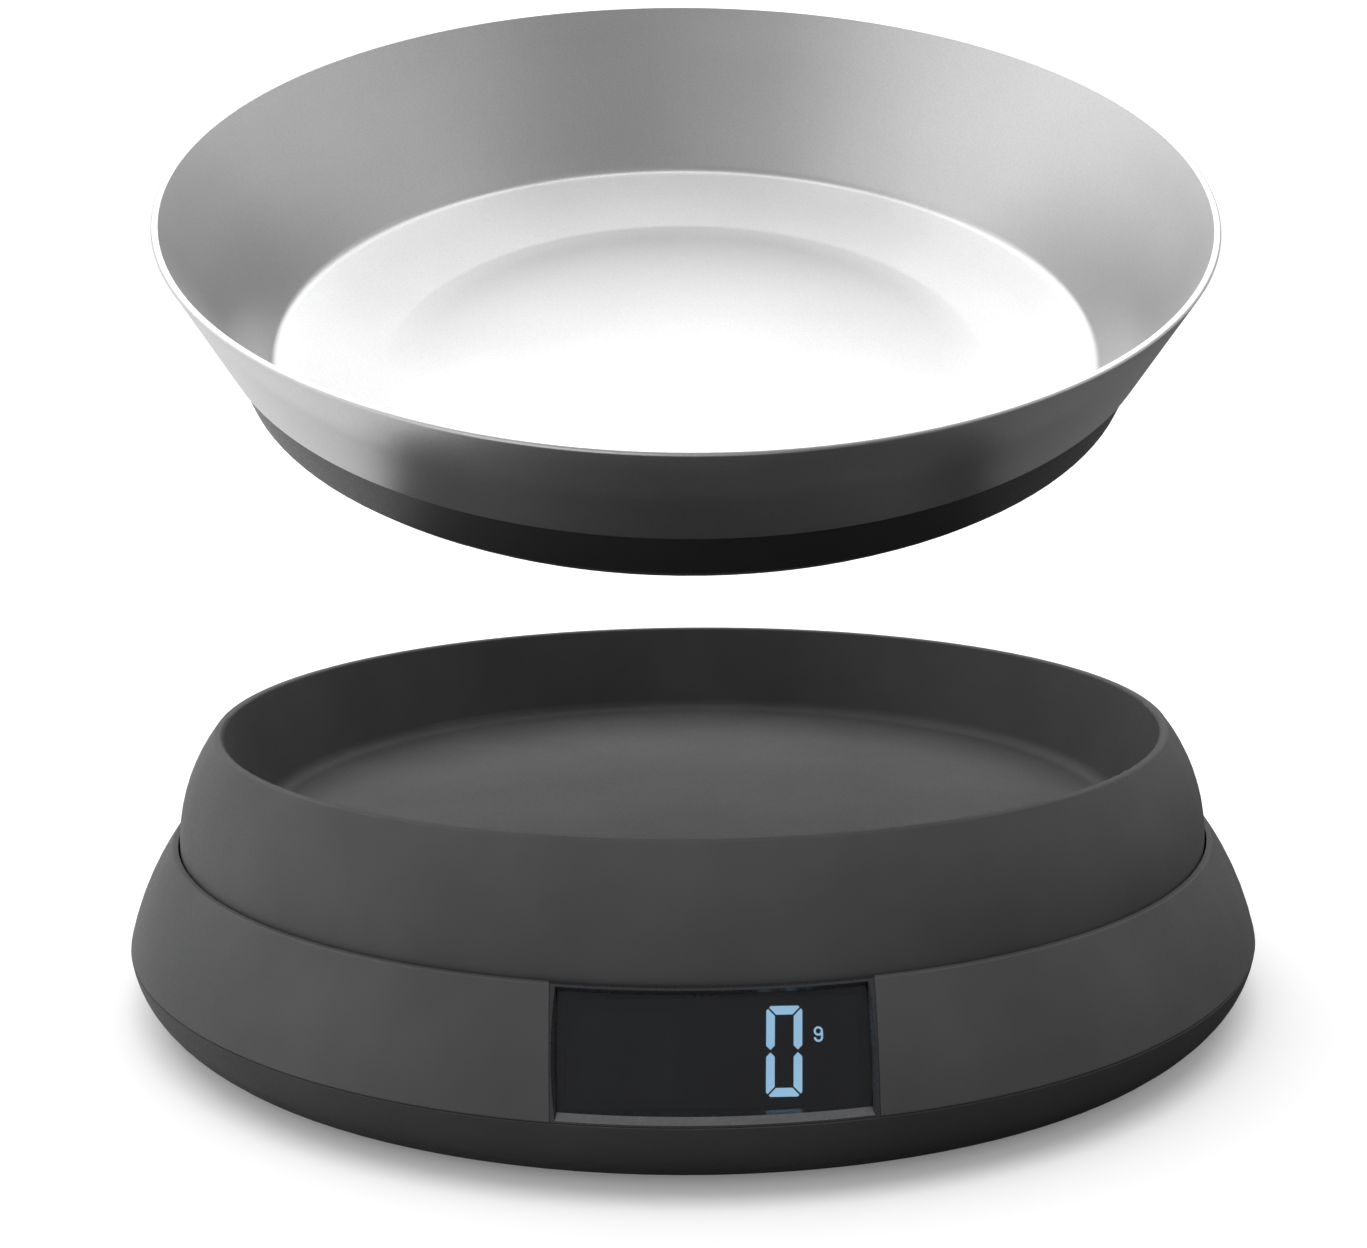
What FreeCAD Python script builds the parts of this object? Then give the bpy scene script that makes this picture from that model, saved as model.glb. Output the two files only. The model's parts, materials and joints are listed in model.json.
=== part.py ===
import FreeCAD, Part
import math
import os
import Sketcher

# Kitchen scale with a steel bowl that lifts out of a round base.
# Frame: +Z up, the display faces -Y, origin on the table at the base's centre. Millimetres.
# Round pieces are drawn as half sections and revolved about Z.

SIZES = {
    # how far a cutting tool passes the face that it cuts
    "overcut": 1.0,
    # base cover: the dark pan whose edge shows at the table
    "cover_bottom": 1.2,
    "cover_bottom_radius": 108.6,
    "cover_floor": 2.2,
    "cover_wall": 2.4,
    "cover_bulge_radius": 113.0,
    "cover_bulge_height": 6.0,
    "cover_inner_rise": 0.9,
    "cover_floor_inset": 1.5,
    "cover_round": 1.6,
    "cover_belt_round": 0.2,
    "belt_radius": 115.0,
    "belt_height": 12.0,
    # main housing: the lower charcoal shell
    "housing_wall": 2.6,
    "housing_bulge_radius": 111.6,
    "housing_bulge_height": 21.8,
    "housing_inner_drop": 0.8,
    "ledge_round": 0.5,
    "belt_round": 0.3,
    "ledge_radius": 106.0,
    "ledge_height": 31.4,
    "ledge_mouth": 105.0,
    "ledge_depth": 2.0,
    # weighing platform: collar and dish
    "skirt_radius": 104.6,
    "skirt_height": 30.6,
    "collar_bulge_radius": 102.8,
    "collar_bulge_height": 42.1,
    "collar_rim_radius": 96.9,
    "rim_height": 52.7,
    "rim_width": 1.5,
    "dish_radius": 89.4,
    "dish_floor": 32.7,
    "dish_thickness": 2.5,
    "platform_wall": 2.2,
    "platform_throat_radius": 99.5,
    "platform_throat_height": 46.0,
    "platform_inner_radius": 95.6,
    "dish_step": 1.4,
    "dish_round": 3.2,
    "rim_round": 0.72,
    # display
    "window_width": 51.6,
    "window_middle": 110.0,
    "window_reach": 30.0,
    "bezel_gap": 0.1,
    "bezel_inset": 0.15,
    "bezel_depth": 2.8,
    "bezel_ring_inside": 20.0,
    "bezel_ring_outside": 5.0,
    "lip_front": 114.9,
    "lip_low": 12.3,
    "lip_back": 113.5,
    "brow_front": 106.3,
    "brow_high": 31.15,
    "brow_back": 105.6,
    "opening_low": 13.3,
    "opening_high": 30.2,
    "opening_width": 49.4,
    "flare_width": 58.4,
    "flare_start": 8.0,
    "flare_depth": 6.15,
    "flare_half_height": 20.0,
    "straight_depth": 20.0,
    "lens_gap": 0.05,
    "lens_inset": 1.2,
    "lens_thickness": 1.0,
    "film_half_angle": 4.0,
    "film_thickness": 0.12,
    "film_low": 15.0,
    "film_high": 27.4,
    "film_turn": 7.0,
    "display_lean": 24.9,
    "display_face": 105.8,
    "display_height": 20.6,
    "lcd_width": 46.0,
    "lcd_tall": 17.0,
    "lcd_thickness": 1.8,
    "backlight_thickness": 2.4,
    "backlight_margin": 1.0,
    "board_width": 44.0,
    "board_tall": 15.0,
    "board_depth": 5.0,
    "board_thickness": 1.6,
    "digit_tall": 14.0,
    "digit_wide": 5.7,
    "digit_place": 11.2,
    "digit_slant": 2.0,
    "segment_width": 1.35,
    "segment_gap": 0.2,
    "segment_corner": 0.7,
    "segment_thickness": 0.25,
    "gram_tall": 2.4,
    "gram_place": 16.7,
    # load cell
    "beam_length": 80.0,
    "beam_side": 12.7,
    "beam_bottom": 13.4,
    "beam_bore": 4.0,
    "beam_bore_place": 7.0,
    "beam_slot": 3.0,
    "beam_slot_low": 4.85,
    "tap_depth": 7.0,
    "gauge_length": 7.0,
    "gauge_width": 5.0,
    "gauge_thickness": 0.4,
    "pad_place": 30.0,
    "pad_length": 20.0,
    "lower_pad_height": 3.0,
    "upper_pad_height": 2.5,
    "screw_radius": 2.0,
    "screw_clearance": 0.05,
    "sink_flare": 1.5,
    "upper_screw_reach": 6.0,
    "lower_screw_reach": 6.0,
    "lower_head": 3.4,
    "lower_head_seat": 3.6,
    "lower_head_low": 0.6,
    "lower_head_top": 3.2,
    "near_screw": 25.0,
    "far_screw": 35.0,
    "stop_radius": 4.0,
    "stop_gap": 1.2,
    "stop_shaft": 2.5,
    "stop_head": 1.6,
    "carrier_radius": 62.0,
    "carrier_thickness": 1.6,
    "carrier_screw_circle": 54.0,
    "carrier_hole": 12.0,
    "carrier_hole_circle": 38.0,
    "carrier_screw_hole": 1.5,
    "carrier_pilot": 1.35,
    "carrier_pilot_depth": 1.8,
    "carrier_head": 2.5,
    "carrier_head_height": 1.2,
    "carrier_shank": 1.3,
    "carrier_shank_reach": 1.6,
    # batteries and their door
    "cell_length": 44.5,
    "cell_radius": 5.25,
    "cell_height": 9.0,
    "nub_radius": 1.9,
    "nub_length": 0.8,
    "leaf_thickness": 0.4,
    "leaf_side": 9.0,
    "bump_radius": 2.4,
    "coil_radius": 2.8,
    "coil_growth": 0.3,
    "coil_wire": 0.3,
    "bay_middle": 53.0,
    "cell_spacing": 12.6,
    "bay_half_length": 28.0,
    "bay_width": 26.0,
    "bay_roof": 14.9,
    "bay_wall": 1.6,
    "flange_extra_length": 14.0,
    "flange_extra_width": 10.0,
    "flange_thickness": 2.0,
    "cell_post_margin": 3.0,
    "door_half_length": 33.0,
    "door_width": 33.0,
    "door_thickness": 1.6,
    "door_gap": 0.55,
    "door_hinge_y": 68.7,
    "door_hinge_height": 2.2,
    "door_pin": 0.6,
    "pin_root": 0.2,
    "pin_length": 1.8,
    "pin_gap": 0.1,
    "pin_hole_depth": 2.2,
    "grip_length": 18.0,
    "grip_width": 0.8,
    "grip_depth": 0.4,
    "grip_place": 9.0,
    "grip_pitch": 1.8,
    # underside: feet, screws and unit button
    "foot_circle": 88.0,
    "foot_radius": 6.8,
    "foot_top": 2.0,
    "foot_gap": 0.2,
    "cover_screw_circle": 100.0,
    "cover_screw_hole": 1.7,
    "cover_screw_shank": 1.4,
    "cover_screw_cap": 6.0,
    "cover_head": 2.9,
    "cover_head_sunk": 0.3,
    "cover_head_seat": 3.1,
    "cover_head_depth": 1.6,
    "screw_pad": 4.5,
    "boss_radius": 3.5,
    "boss_foot": 5.4,
    "boss_top": 22.0,
    "boss_pilot": 1.45,
    "boss_cap": 4.0,
    "rib_gap": 5.0,
    "rib_width": 2.0,
    "rib_height": 6.5,
    "rib_foot": 13.0,
    "button_x": -30.0,
    "button_y": -60.0,
    "button_radius": 4.8,
    "button_face": 1.8,
    "button_flange": 6.4,
    "button_flange_height": 1.0,
    "button_gap": 0.3,
    "plunger_radius": 1.6,
    "plunger_bottom": 5.3,
    "switch_side": 6.0,
    "switch_bottom": 5.7,
    "switch_board_length": 24.0,
    "switch_board_width": 18.0,
    "switch_board_thickness": 1.2,
    "shelf_post": 2.2,
    "shelf_post_place": 9.5,
    "board_shelf": 9.0,
    # wires: from the load cell and from the battery bay to the main board
    "wire_lift": 0.05,
    "cell_wire_radius": 0.45,
    "cell_wire_bend": 6.0,
    "cell_wire_first": -14.5,
    "cell_wire_pitch": 1.5,
    "cell_wire_height": 20.0,
    "cell_wire_shift": 12.0,
    "cell_wire_drop_y": -62.0,
    "cell_wire_drop_height": 14.0,
    "cell_wire_straight": 14.0,
    "cell_wire_board_gap": 0.35,
    "battery_wire_radius": 0.65,
    "battery_wire_bend": 8.0,
    "battery_wire_first": 12.0,
    "battery_wire_pitch": 2.2,
    "battery_wire_height": 8.0,
    "battery_wire_low": 6.0,
    "battery_wire_turn_y": 20.0,
    "battery_wire_straight": 20.0,
    "battery_wire_board_gap": 0.45,
    "battery_wire_board_height": -5.0,
    "wire_turn_y": -30.0,
    # bowl, in its own frame: its foot ring reaches below zero height
    "bowl_rim_radius": 105.9,
    "bowl_height": 41.7,
    "skirt_bottom_radius": 95.9,
    "skirt_bottom_height": 18.9,
    "steel_thickness": 0.7,
    "steel_slant": 0.8,
    "basin_floor": 2.4,
    "disc_radius": 63.0,
    "disc_rise": 0.9,
    "disc_crown": 8.0,
    "disc_shoulder": 34.0,
    "disc_shoulder_rise": 0.63,
    "slope_radius": 74.75,
    "slope_height": 4.4,
    "wall_foot_radius": 86.5,
    "wall_foot_height": 7.0,
    "wall_foot_under_radius": 87.0,
    "wall_foot_under_height": 6.4,
    "wall_foot_fillet": 3.0,
    "cup_gap": 0.15,
    "cup_edge_radius": 95.0,
    "cup_edge_height": 18.6,
    "cup_edge_width": 0.25,
    "cup_lip_height": 2.4,
    "cup_lip_inset": 0.1,
    "cup_lip_reach": 0.6,
    "cup_corner_radius": 92.2,
    "cup_corner_height": 9.2,
    "cup_round_radius": 82.34,
    "cup_round_height": 2.92,
    "cup_flat_radius": 70.0,
    "cup_flat_height": 1.58,
    "cup_bottom_radius": 69.2,
    "cup_bottom": 0.4,
    "cup_bed_corner_radius": 89.6,
    "cup_bed_corner_height": 9.4,
    "cup_bed_turn_radius": 88.4,
    "cup_bed_turn_height": 7.1,
    "cup_bed_foot_radius": 86.0,
    "cup_bed_foot_height": 5.9,
    "cup_bed_slope_height": 3.5,
    "foot_ring_radius": 68.5,
    "foot_ring_width": 5.0,
    "foot_ring_bottom": -1.0,
    "foot_ring_round": 0.5,
    # the bowl's place when lifted: turned about a line in front of the scale
    "bowl_seat_gap": 1.2,
    "bowl_turn_y": -178.6,
    "bowl_turn_height": 128.8,
    "bowl_turn_angle": 26.45,
}

FRONT = FreeCAD.Rotation(FreeCAD.Vector(0, 0, 1), -90)
Z_AXIS = FreeCAD.Vector(0, 0, 1)
X_AXIS = FreeCAD.Vector(1, 0, 0)
Y_AXIS = FreeCAD.Vector(0, 1, 0)
QUARTERS = (0, 90, 180, 270)
DIAGONALS = (45, 135, 225, 315)
SCREW_ANGLES = (30, 150, 210, 330)
COIL_TURNS = 5
CELL_WIRES = 4
# the small g, in shares of its height: ring radii, middle of the ring, drop of the hook, stem
GRAM_OUTER, GRAM_INNER, GRAM_RISE, GRAM_HOOK, GRAM_STEM = 0.3, 0.17, 1.25, 0.4, 0.4
# parts on the main board: width, depth and height, then the place across and up
CHIPS = {
    "controller": ("9", "1.2", "9", (-9.0, 0.0)),
    "converter": ("5", "1.4", "6", (8.0, 2.5)),
    "crystal": ("7", "2.2", "3", (-19.0, -3.5)),
    "capacitor": ("3", "1.8", "3", (1.0, -4.0)),
}

doc = FreeCAD.newDocument("KitchenScale")
sheet = doc.addObject("Spreadsheet::Sheet", "Dims")
for row, (name, size) in enumerate(SIZES.items(), start=1):
    sheet.set("A%d" % row, name)
    sheet.set("B%d" % row, str(size))
    sheet.setAlias("B%d" % row, name)
doc.recompute()

subparts = []


def amount(text):
    """The value of a sum such as 'belt_radius - cover_wall'."""
    total, sign = 0.0, 1
    for word in text.split():
        if word in "+-":
            sign = 1 if word == "+" else -1
        else:
            total += sign * (SIZES[word] if word in SIZES else float(word))
    return total


def formula(text):
    """The same sum, written for the spreadsheet's names."""
    return " ".join("Dims." + word if word in SIZES else word for word in text.split())


def keep(thing, label):
    """Name a finished sub-part and put it on the list to write out."""
    thing.Label = label
    subparts.append(thing)
    return thing


def find_plane(body, role):
    return next(item for item in body.Origin.OriginFeatures if item.Role == role)


def pin_point(sketch, geometry, end, place):
    """Hold a point of the sketch at a radius and a height from the sheet."""
    for direction, axis, text in (("DistanceX", -2, place[0]), ("DistanceY", -1, place[1])):
        if text == "0":
            sketch.addConstraint(Sketcher.Constraint("PointOnObject", geometry, end, axis))
            continue
        number = sketch.addConstraint(
            Sketcher.Constraint(direction, -1, 1, geometry, end, amount(text)))
        sketch.setExpression("Constraints[%d]" % number, formula(text))


def draw_outline(sketch, corners):
    """Join the corners in a closed loop. A corner is (radius, height) and the edge after it is
    straight, or an arc where (radius, height) of a point on the arc follows as a third item."""
    points = [FreeCAD.Vector(amount(corner[0]), amount(corner[1]), 0) for corner in corners]
    for index, corner in enumerate(corners):
        start, stop = points[index], points[(index + 1) % len(points)]
        if len(corner) > 2:
            middle = FreeCAD.Vector(amount(corner[2][0]), amount(corner[2][1]), 0)
            arc = Part.Arc(start, middle, stop)
            edge = sketch.addGeometry(arc)
            first_point = sketch.getPoint(edge, 1)
            ends = (1, 2) if first_point.distanceToPoint(start) < 1e-6 else (2, 1)
            spot = sketch.addGeometry(Part.Point(middle), True)
            pin_point(sketch, spot, 1, corner[2])
            sketch.addConstraint(Sketcher.Constraint("PointOnObject", spot, 1, edge))
        else:
            edge = sketch.addGeometry(Part.LineSegment(start, stop))
            ends = (1, 2)
        pin_point(sketch, edge, ends[0], corner)
        pin_point(sketch, edge, ends[1], corners[(index + 1) % len(corners)])


def revolved(label, corners, half_angle=None, placement=None):
    """A body made by turning a half section about Z, whole or as a wedge about the front."""
    body = doc.addObject("PartDesign::Body", label)
    sketch = body.newObject("Sketcher::SketchObject", label + "_section")
    sketch.AttachmentSupport = (find_plane(body, "XZ_Plane"), [""])
    sketch.MapMode = "FlatFace"
    draw_outline(sketch, corners)
    doc.recompute()
    turn = body.newObject("PartDesign::Revolution", label + "_turn")
    turn.Profile = sketch
    turn.ReferenceAxis = (sketch, ["V_Axis"])
    turn.Angle = 360
    if half_angle:
        turn.Midplane = True
        turn.setExpression("Angle", "2 * (" + formula(half_angle) + ")")
    body.Placement = placement or FreeCAD.Placement(FreeCAD.Vector(), FRONT)
    body.Label = label
    doc.recompute()
    return body


def rounded(body, places, size):
    """Round the body's circular edges at the given (radius, height) places."""
    base = body.Tip
    names = []
    for number, edge in enumerate(base.Shape.Edges, start=1):
        if edge.Degenerated or not isinstance(edge.Curve, Part.Circle):
            continue
        curve = edge.Curve
        for radius, height in places:
            level = abs(edge.BoundBox.ZMax - amount(height)) + edge.BoundBox.ZLength
            if abs(curve.Radius - amount(radius)) < 1e-4 and level < 1e-4:
                names.append("Edge%d" % number)
    fillet = body.newObject("PartDesign::Fillet", body.Name + "_round")
    fillet.Base = (base, names)
    fillet.setExpression("Radius", formula(size))
    doc.recompute()
    return body


def centred_box(name, length, width, height, middle, low):
    """A box about a vertical line: middle is its (x, y), low its bottom."""
    box = doc.addObject("Part::Box", name)
    for side, text in (("Length", length), ("Width", width), ("Height", height)):
        box.setExpression(side, formula(text))
    box.setExpression("Placement.Base.x", formula(middle[0]) + " - (" + formula(length) + ") / 2")
    box.setExpression("Placement.Base.y", formula(middle[1]) + " - (" + formula(width) + ") / 2")
    box.setExpression("Placement.Base.z", formula(low))
    return box


def rod(name, radius, low, high, middle=("0", "0")):
    """An upright cylinder between two heights."""
    cylinder = doc.addObject("Part::Cylinder", name)
    cylinder.setExpression("Radius", formula(radius))
    cylinder.setExpression("Height", formula(high) + " - (" + formula(low) + ")")
    cylinder.setExpression("Placement.Base.x", formula(middle[0]))
    cylinder.setExpression("Placement.Base.y", formula(middle[1]))
    cylinder.setExpression("Placement.Base.z", formula(low))
    return cylinder


def joined(name, pieces):
    fuse = doc.addObject("Part::MultiFuse", name)
    fuse.Shapes = pieces
    return fuse


def group(name, pieces):
    compound = doc.addObject("Part::Compound", name)
    compound.Links = pieces
    return compound


def less(name, base, tools):
    cut = doc.addObject("Part::Cut", name)
    cut.Base = base
    cut.Tool = tools[0] if len(tools) == 1 else joined(name + "_tools", tools)
    return cut


def shared(name, first, second):
    common = doc.addObject("Part::Common", name)
    common.Base = first
    common.Tool = second
    return common


def ring_of(name, circle, angles, make):
    """Pieces made by make(name, (x, y)) at the given angles on a circle."""
    pieces = []
    for number, angle in enumerate(angles, start=1):
        radians = math.radians(angle)
        place = ("%.6f" % (amount(circle) * math.cos(radians)),
                 "%.6f" % (amount(circle) * math.sin(radians)))
        pieces.append(make("%s_%d" % (name, number), place))
    return pieces


# --- housing wall: one curved cone that the shell, the bezel and the lens all follow

def wall_band(near, far):
    """Half section between two depths, each a list of sizes, under the housing's outer face."""
    def at(radius, depths):
        return " - ".join([radius] + depths)
    outer_middle = (at("housing_bulge_radius", near), "housing_bulge_height")
    inner_middle = (at("housing_bulge_radius", far), "housing_bulge_height")
    return [(at("belt_radius", near), "belt_height", outer_middle),
            (at("ledge_radius", near), "ledge_height"),
            (at("ledge_radius", far), "ledge_height", inner_middle),
            (at("belt_radius", far), "belt_height")]


def window_box(name, width, low, high):
    """A box across the front of the housing wall, between two heights."""
    box = centred_box(name, width, "window_reach", high, ("0", "0 - window_middle"), low)
    box.setExpression("Height", formula(high) + " - (" + formula(low) + ")")
    return box


def make_housing():
    shell = revolved("housing_shell", [
        ("belt_radius", "belt_height", ("housing_bulge_radius", "housing_bulge_height")),
        ("ledge_radius", "ledge_height"),
        ("ledge_mouth", "ledge_height"),
        ("ledge_mouth", "ledge_height - ledge_depth",
         ("housing_bulge_radius - housing_wall", "housing_bulge_height - housing_inner_drop")),
        ("belt_radius - housing_wall", "belt_height")])
    rounded(shell, [("ledge_radius", "ledge_height")], "ledge_round")
    rounded(shell, [("belt_radius", "belt_height")], "belt_round")

    def boss(name, place):
        tube = rod(name + "_tube", "boss_radius", "boss_foot", "boss_top", place)
        angle = math.degrees(math.atan2(float(place[1]), float(place[0])))
        rib = doc.addObject("Part::Box", name + "_rib")
        rib.setExpression("Length", formula("belt_radius - cover_screw_circle - rib_gap"))
        rib.setExpression("Width", formula("rib_width"))
        rib.setExpression("Height", formula("rib_height"))
        spin = FreeCAD.Rotation(Z_AXIS, angle)
        start = spin.multVec(FreeCAD.Vector(
            amount("cover_screw_circle"), -amount("rib_width") / 2, amount("rib_foot")))
        rib.Placement = FreeCAD.Placement(start, spin)
        return joined(name, [tube, rib])

    bosses = ring_of("housing_boss", "cover_screw_circle", SCREW_ANGLES, boss)
    holes = ring_of("housing_pilot", "cover_screw_circle", SCREW_ANGLES,
                    lambda name, place: rod(name, "boss_pilot", "boss_foot - overcut",
                                            "boss_top - boss_cap", place))
    window = window_box("housing_window", "window_width", "belt_height - overcut",
                        "ledge_height + overcut")
    keep(less("main_housing", joined("housing_body", [shell] + bosses), [window] + holes),
         "main_housing")


def make_display_window():
    # the collar moves past the top of the window when the platform is pressed
    passage = rod("collar_passage", "ledge_mouth", "ledge_height - ledge_depth",
                  "ledge_height + overcut")
    band = revolved("bezel_band", wall_band(["bezel_inset"], ["bezel_depth"]))
    outer = window_box("bezel_outside", "window_width - bezel_gap", "belt_height + bezel_gap",
                       "ledge_height - bezel_gap")
    # the opening slopes in to the lens: up from the lip, down from the brow, in from the sides
    ring = revolved("bezel_ring", [
        ("belt_radius - bezel_ring_inside", "opening_low"),
        ("lip_back", "opening_low"),
        ("lip_front", "lip_low"),
        ("belt_radius + bezel_ring_outside", "lip_low"),
        ("belt_radius + bezel_ring_outside", "brow_high"),
        ("brow_front", "brow_high"),
        ("brow_back", "opening_high"),
        ("belt_radius - bezel_ring_inside", "opening_high")])
    flare = doc.addObject("Part::Wedge", "bezel_flare")
    for side, sign in (("min", "-"), ("max", "")):
        flare.setExpression("X" + side, sign + "Dims.flare_width / 2")
        flare.setExpression("X2" + side, sign + "Dims.opening_width / 2")
        flare.setExpression("Z" + side, sign + "Dims.flare_half_height")
        flare.setExpression("Z2" + side, sign + "Dims.flare_half_height")
    flare.Ymin = 0
    flare.setExpression("Ymax", "Dims.flare_depth")
    flare.Placement = display_place(0, -amount("flare_start"), 0)
    straight = display_block("bezel_straight", "opening_width", "straight_depth",
                             "flare_half_height + flare_half_height", "0 - flare_start")
    opening = shared("bezel_opening", ring, joined("bezel_sides", [flare, straight]))
    keep(less("display_bezel", shared("bezel_block", band, outer), [opening, passage]),
         "display_bezel")
    glass = revolved("lens_band", wall_band(["lens_inset"], ["lens_inset", "lens_thickness"]))
    outline = window_box("lens_outline", "opening_width - lens_gap - lens_gap",
                         "opening_low + lens_gap", "opening_high - lens_gap")
    keep(less("display_lens", shared("lens_block", glass, outline), [passage]), "display_lens")


# --- the display's flat stack, in a frame that leans back with the wall

def display_place(across, deep, up):
    lean = FreeCAD.Rotation(X_AXIS, -amount("display_lean"))
    face = FreeCAD.Vector(0, -amount("display_face"), amount("display_height"))
    return FreeCAD.Placement(face + lean.multVec(FreeCAD.Vector(across, deep, up)), lean)


def display_block(name, width, depth, tall, start, centre=(0.0, 0.0)):
    """A block of the stack that starts at a depth behind the display's face."""
    block = doc.addObject("Part::Box", name)
    block.setExpression("Length", formula(width))
    block.setExpression("Width", formula(depth))
    block.setExpression("Height", formula(tall))
    block.Placement = display_place(
        centre[0] - amount(width) / 2, amount(start), centre[1] - amount(tall) / 2)
    return block


def segment_prism(points, thickness):
    """A thin plate with the given outline in the display's plane."""
    corners = [FreeCAD.Vector(across, -thickness, up) for across, up in points]
    face = Part.Face(Part.makePolygon(corners + corners[:1]))
    return face.extrude(FreeCAD.Vector(0, thickness, 0))


def make_segments():
    """The lit zero: six mitred bars of a seven-segment digit, with the small g beside it."""
    width, gap = amount("segment_width"), amount("segment_gap")
    corner = amount("segment_corner")
    half_wide, half_tall = amount("digit_wide") / 2, amount("digit_tall") / 2
    lean = math.tan(math.radians(amount("digit_slant")))
    thickness = amount("segment_thickness")
    middle = amount("digit_place")

    # distances in from the digit's outer corner: (across, down), for one end of each bar
    flat_end = [(corner, 0), ((corner + gap) / 2, (corner - gap) / 2), (width + gap, width)]
    upright_end = [(width, width + gap), ((corner - gap) / 2, (corner + gap) / 2), (0, corner)]
    upright_foot = [(0, half_tall - gap - width / 2), (width / 2, half_tall - gap),
                    (width, half_tall - gap - width / 2)]

    def bar(distances, right, top):
        places = []
        for across, down in distances:
            up = top * (half_tall - down)
            places.append((middle + right * (half_wide - across) + up * lean, up))
        return segment_prism(places, thickness)

    bars = []
    for top in (1, -1):
        other_end = [(2 * half_wide - across, down) for across, down in reversed(flat_end)]
        bars.append(bar(flat_end + other_end, 1, top))
        bars.extend(bar(upright_end + upright_foot, right, top) for right in (1, -1))

    # the g: a small ring over a hook
    size = amount("gram_tall")
    outer, inner = size * GRAM_OUTER, size * GRAM_INNER
    bowl = FreeCAD.Vector(amount("gram_place"), -thickness, size * GRAM_RISE)
    hook = bowl - Z_AXIS * (size * GRAM_HOOK)
    ring = Part.makeCylinder(outer, thickness, bowl, Y_AXIS)
    ring = ring.cut(Part.makeCylinder(inner, thickness, bowl, Y_AXIS))
    tail = Part.makeCylinder(outer, thickness, hook, Y_AXIS)
    tail = tail.cut(Part.makeCylinder(inner, thickness, hook, Y_AXIS))
    upper_half = Part.makeBox(size, thickness, size, hook - X_AXIS * (size / 2))
    tail = tail.cut(upper_half)
    stem_low = hook + X_AXIS * inner
    stem = Part.makeBox(outer - inner, thickness, size * GRAM_STEM, stem_low)
    gram = ring.fuse([stem, tail]).removeSplitter()

    feature = doc.addObject("Part::Feature", "lcd_segments")
    feature.Shape = Part.makeCompound(bars + gram.Solids)
    feature.Placement = display_place(0, 0, 0)
    keep(feature, "lcd_segments")


def make_display_stack():
    keep(display_block("lcd_panel", "lcd_width", "lcd_thickness", "lcd_tall", "0"), "lcd_panel")
    keep(display_block("backlight", "lcd_width - backlight_margin", "backlight_thickness",
                       "lcd_tall - backlight_margin", "lcd_thickness"), "backlight")
    keep(display_block("main_board", "board_width", "board_thickness", "board_tall",
                       "board_depth"), "main_board")
    behind = "board_depth + board_thickness"
    chips = [display_block(name, width, depth, tall, behind, centre)
             for name, (width, depth, tall, centre) in CHIPS.items()]
    keep(group("board_chips", chips), "board_chips")
    behind_lens = ["lens_inset", "lens_thickness"]
    film = revolved("film_band", wall_band(behind_lens, behind_lens + ["film_thickness"]))
    patch = revolved("film_outline", [
        ("belt_radius - bezel_ring_inside", "film_low"),
        ("belt_radius + bezel_ring_outside", "film_low"),
        ("belt_radius + bezel_ring_outside", "film_high"),
        ("belt_radius - bezel_ring_inside", "film_high")],
        "film_half_angle",
        FreeCAD.Placement(FreeCAD.Vector(), FreeCAD.Rotation(Z_AXIS, -90 - amount("film_turn"))))
    keep(shared("touch_film", film, patch), "touch_film")


# --- weighing platform and load cell

def make_platform():
    under = "dish_floor - dish_thickness"
    rim_top = "rim_height"
    plate = revolved("platform_shell", [
        ("0", "dish_floor"),
        ("dish_radius", "dish_floor"),
        ("collar_rim_radius - rim_width", rim_top),
        ("collar_rim_radius", rim_top, ("collar_bulge_radius", "collar_bulge_height")),
        ("skirt_radius", "skirt_height"),
        ("skirt_radius - platform_wall", "skirt_height"),
        ("platform_throat_radius", "platform_throat_height"),
        ("platform_inner_radius", "platform_throat_height"),
        ("dish_radius + dish_step", under),
        ("0", under)])
    rounded(plate, [("collar_rim_radius", rim_top)], "rim_round")
    rounded(plate, [("collar_rim_radius - rim_width", rim_top)], "rim_round")
    rounded(plate, [("dish_radius", "dish_floor")], "dish_round")
    pilots = ring_of("platform_pilot", "carrier_screw_circle", QUARTERS,
                     lambda name, place: rod(name, "carrier_pilot", under + " - overcut",
                                             under + " + carrier_pilot_depth", place))
    keep(less("weighing_platform", plate, pilots), "weighing_platform")


def make_carrier():
    top = "dish_floor - dish_thickness"
    low = "dish_floor - dish_thickness - carrier_thickness"
    disc = rod("carrier_disc", "carrier_radius", low, top)
    openings = ring_of("carrier_opening", "carrier_hole_circle", DIAGONALS,
                       lambda name, place: rod(name, "carrier_hole", low + " - overcut",
                                               top + " + overcut", place))
    holes = ring_of("carrier_screw_hole", "carrier_screw_circle", QUARTERS,
                    lambda name, place: rod(name, "carrier_screw_hole", low + " - overcut",
                                            top + " + overcut", place))
    sinks = [countersunk("carrier_sink_" + place, place, low + " - overcut", "screw_clearance")
             for place in ("near_screw", "far_screw")]
    keep(less("platform_carrier", disc, openings + holes + sinks), "platform_carrier")

    def screw(name, place):
        head = rod(name + "_head", "carrier_head", low + " - carrier_head_height", low, place)
        shank = rod(name + "_shank", "carrier_shank", low, top + " + carrier_shank_reach", place)
        return joined(name, [head, shank])

    keep(group("carrier_screws", ring_of("carrier_screw", "carrier_screw_circle",
                                         QUARTERS, screw)), "carrier_screws")


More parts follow.
